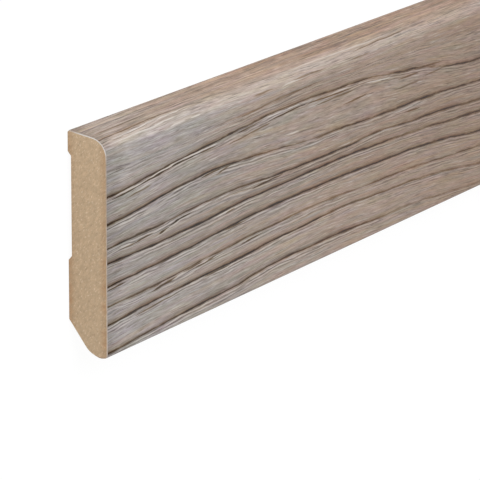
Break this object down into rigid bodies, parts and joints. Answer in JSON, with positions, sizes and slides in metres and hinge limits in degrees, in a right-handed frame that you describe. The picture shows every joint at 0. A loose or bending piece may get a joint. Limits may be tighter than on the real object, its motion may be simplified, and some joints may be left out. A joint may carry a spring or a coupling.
{
  "type": "skirting board length",
  "caption": "Straight length of fibreboard skirting with a rounded top, a round bottom nose and a relieved back, wrapped in a weathered-oak print foil.",
  "frame": {"origin": "on the wall plane, at mid length and mid height: the middle of the base when the board lies on its wall side", "axes": "+X along the length, +Y from the bottom edge to the top edge, +Z out from the wall plane to the visible face"},
  "size_m": [2.4, 0.06, 0.012],
  "materials": {
    "fibreboard": "matte",
    "decor_foil": "satin"
  },
  "bodies": {
    "root": {"fibreboard_core": "fibreboard", "decor_foil": "decor_foil"}
  },
  "joints": []
}
